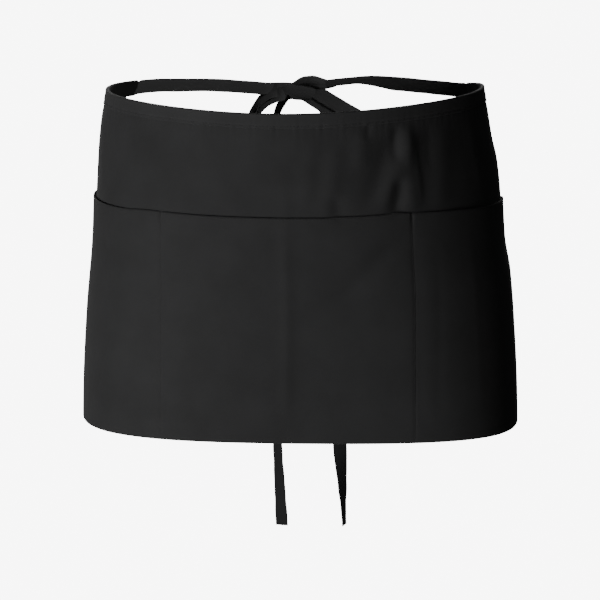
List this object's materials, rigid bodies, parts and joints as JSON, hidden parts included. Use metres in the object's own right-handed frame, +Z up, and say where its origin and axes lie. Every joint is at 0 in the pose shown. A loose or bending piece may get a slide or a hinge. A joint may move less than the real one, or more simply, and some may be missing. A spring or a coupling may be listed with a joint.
{
  "type": "waist apron",
  "caption": "Short waist apron: a curved cloth panel with a full-width divided pouch pocket, a narrow waistband and long ties fastened in a bow at the back.",
  "frame": {"origin": "middle of the waist opening, level with the middle of the waistband at the two sides", "axes": "+Z up along the wearer's body, +X to the right of a viewer who faces the apron's front, the front faces -Y and the bow is at +Y"},
  "size_m": [0.4002, 0.3083, 0.4413],
  "materials": {
    "panel_cloth": "matte black twill, polyester and cotton",
    "pocket_cloth": "matte black twill, polyester and cotton",
    "band_cloth": "matte black twill folded into a narrow band and edge-stitched",
    "tie_cloth": "matte black twill folded into flat ties and edge-stitched"
  },
  "bodies": {
    "root": {"apron_panel": "panel_cloth", "pocket_panel": "pocket_cloth", "waistband": "band_cloth", "tie_left": "tie_cloth", "tie_right": "tie_cloth", "bow_knot": "tie_cloth", "bow_loop_left": "tie_cloth", "bow_loop_right": "tie_cloth", "tie_end_left": "tie_cloth", "tie_end_right": "tie_cloth"}
  },
  "joints": []
}
